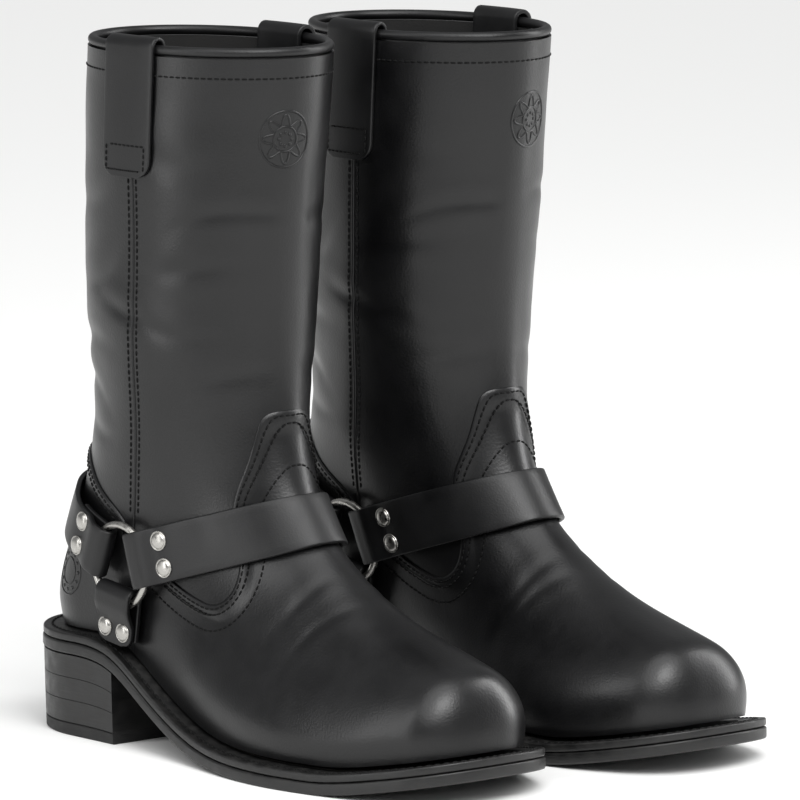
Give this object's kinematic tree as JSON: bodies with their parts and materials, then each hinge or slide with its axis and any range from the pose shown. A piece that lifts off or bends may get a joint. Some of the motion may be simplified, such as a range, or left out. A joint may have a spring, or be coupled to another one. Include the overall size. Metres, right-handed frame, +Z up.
{
  "type": "harness boots",
  "caption": "Pair of pull-on black leather boots with a strap-and-ring harness, pull straps, welted soles and stacked heels.",
  "frame": {"origin": "centre of the pair's footprint on the floor", "axes": "+Z up, toes towards -Y, the wearer's right boot at -X and left boot at +X"},
  "size_m": [0.253, 0.328, 0.3442],
  "materials": {
    "black_upper_leather": "smooth waxed full-grain leather",
    "lining_leather": "matt black lining leather",
    "insole_leather": "matt dark leather board",
    "black_sole_edge": "inked and waxed sole edge",
    "black_heel_stack": "inked stacked heel",
    "nickel_steel": "nickel plated steel"
  },
  "bodies": {
    "right_boot": {"right_shaft_front": "black_upper_leather", "right_shaft_back": "black_upper_leather", "right_vamp": "black_upper_leather", "right_counter": "black_upper_leather", "right_topline_piping": "black_upper_leather", "right_front_strap": "black_upper_leather", "right_heel_strap": "black_upper_leather", "right_pull_strap_outer": "black_upper_leather", "right_pull_strap_inner": "black_upper_leather", "right_side_strap_outer": "black_upper_leather", "right_side_strap_inner": "black_upper_leather", "right_shaft_lining": "lining_leather", "right_insole": "insole_leather", "right_welt": "black_sole_edge", "right_outsole": "black_sole_edge", "right_heel_block": "black_heel_stack", "right_rivet_front_strap_outer_1": "nickel_steel", "right_rivet_front_strap_outer_2": "nickel_steel", "right_rivet_front_strap_inner_1": "nickel_steel", "right_rivet_front_strap_inner_2": "nickel_steel", "right_rivet_heel_strap_outer_1": "nickel_steel", "right_rivet_heel_strap_outer_2": "nickel_steel", "right_rivet_heel_strap_inner_1": "nickel_steel", "right_rivet_heel_strap_inner_2": "nickel_steel", "right_rivet_side_strap_outer_1": "nickel_steel", "right_rivet_side_strap_outer_2": "nickel_steel", "right_rivet_side_strap_inner_1": "nickel_steel", "right_rivet_side_strap_inner_2": "nickel_steel"},
    "right_ring_outer": {"right_ring_outer": "nickel_steel"},
    "right_ring_inner": {"right_ring_inner": "nickel_steel"},
    "left_boot": {"left_shaft_front": "black_upper_leather", "left_shaft_back": "black_upper_leather", "left_vamp": "black_upper_leather", "left_counter": "black_upper_leather", "left_topline_piping": "black_upper_leather", "left_front_strap": "black_upper_leather", "left_heel_strap": "black_upper_leather", "left_pull_strap_outer": "black_upper_leather", "left_pull_strap_inner": "black_upper_leather", "left_side_strap_outer": "black_upper_leather", "left_side_strap_inner": "black_upper_leather", "left_shaft_lining": "lining_leather", "left_insole": "insole_leather", "left_welt": "black_sole_edge", "left_outsole": "black_sole_edge", "left_heel_block": "black_heel_stack", "left_rivet_front_strap_outer_1": "nickel_steel", "left_rivet_front_strap_outer_2": "nickel_steel", "left_rivet_front_strap_inner_1": "nickel_steel", "left_rivet_front_strap_inner_2": "nickel_steel", "left_rivet_heel_strap_outer_1": "nickel_steel", "left_rivet_heel_strap_outer_2": "nickel_steel", "left_rivet_heel_strap_inner_1": "nickel_steel", "left_rivet_heel_strap_inner_2": "nickel_steel", "left_rivet_side_strap_outer_1": "nickel_steel", "left_rivet_side_strap_outer_2": "nickel_steel", "left_rivet_side_strap_inner_1": "nickel_steel", "left_rivet_side_strap_inner_2": "nickel_steel"},
    "left_ring_outer": {"left_ring_outer": "nickel_steel"},
    "left_ring_inner": {"left_ring_inner": "nickel_steel"}
  },
  "joints": [
    {"name": "left_boot_lift", "type": "slide", "parent": "right_boot", "child": "left_boot", "axis": [0, 0, 1], "range_m": [0, 0.4]},
    {"name": "right_ring_outer_turn", "type": "hinge", "parent": "right_boot", "child": "right_ring_outer", "pos_m": [-0.107, 0.07756, 0.0878], "axis": [-0.9996, 0.0086, -0.0285], "continuous": true},
    {"name": "right_ring_inner_turn", "type": "hinge", "parent": "right_boot", "child": "right_ring_inner", "pos_m": [-0.0279, 0.07754, 0.08691], "axis": [0.9889, 0.0057, -0.1484], "continuous": true},
    {"name": "left_ring_outer_turn", "type": "hinge", "parent": "left_boot", "child": "left_ring_outer", "pos_m": [0.107, 0.06556, 0.0878], "axis": [0.9996, 0.0086, -0.0285], "continuous": true},
    {"name": "left_ring_inner_turn", "type": "hinge", "parent": "left_boot", "child": "left_ring_inner", "pos_m": [0.0279, 0.06554, 0.08691], "axis": [-0.9889, 0.0057, -0.1484], "continuous": true}
  ]
}
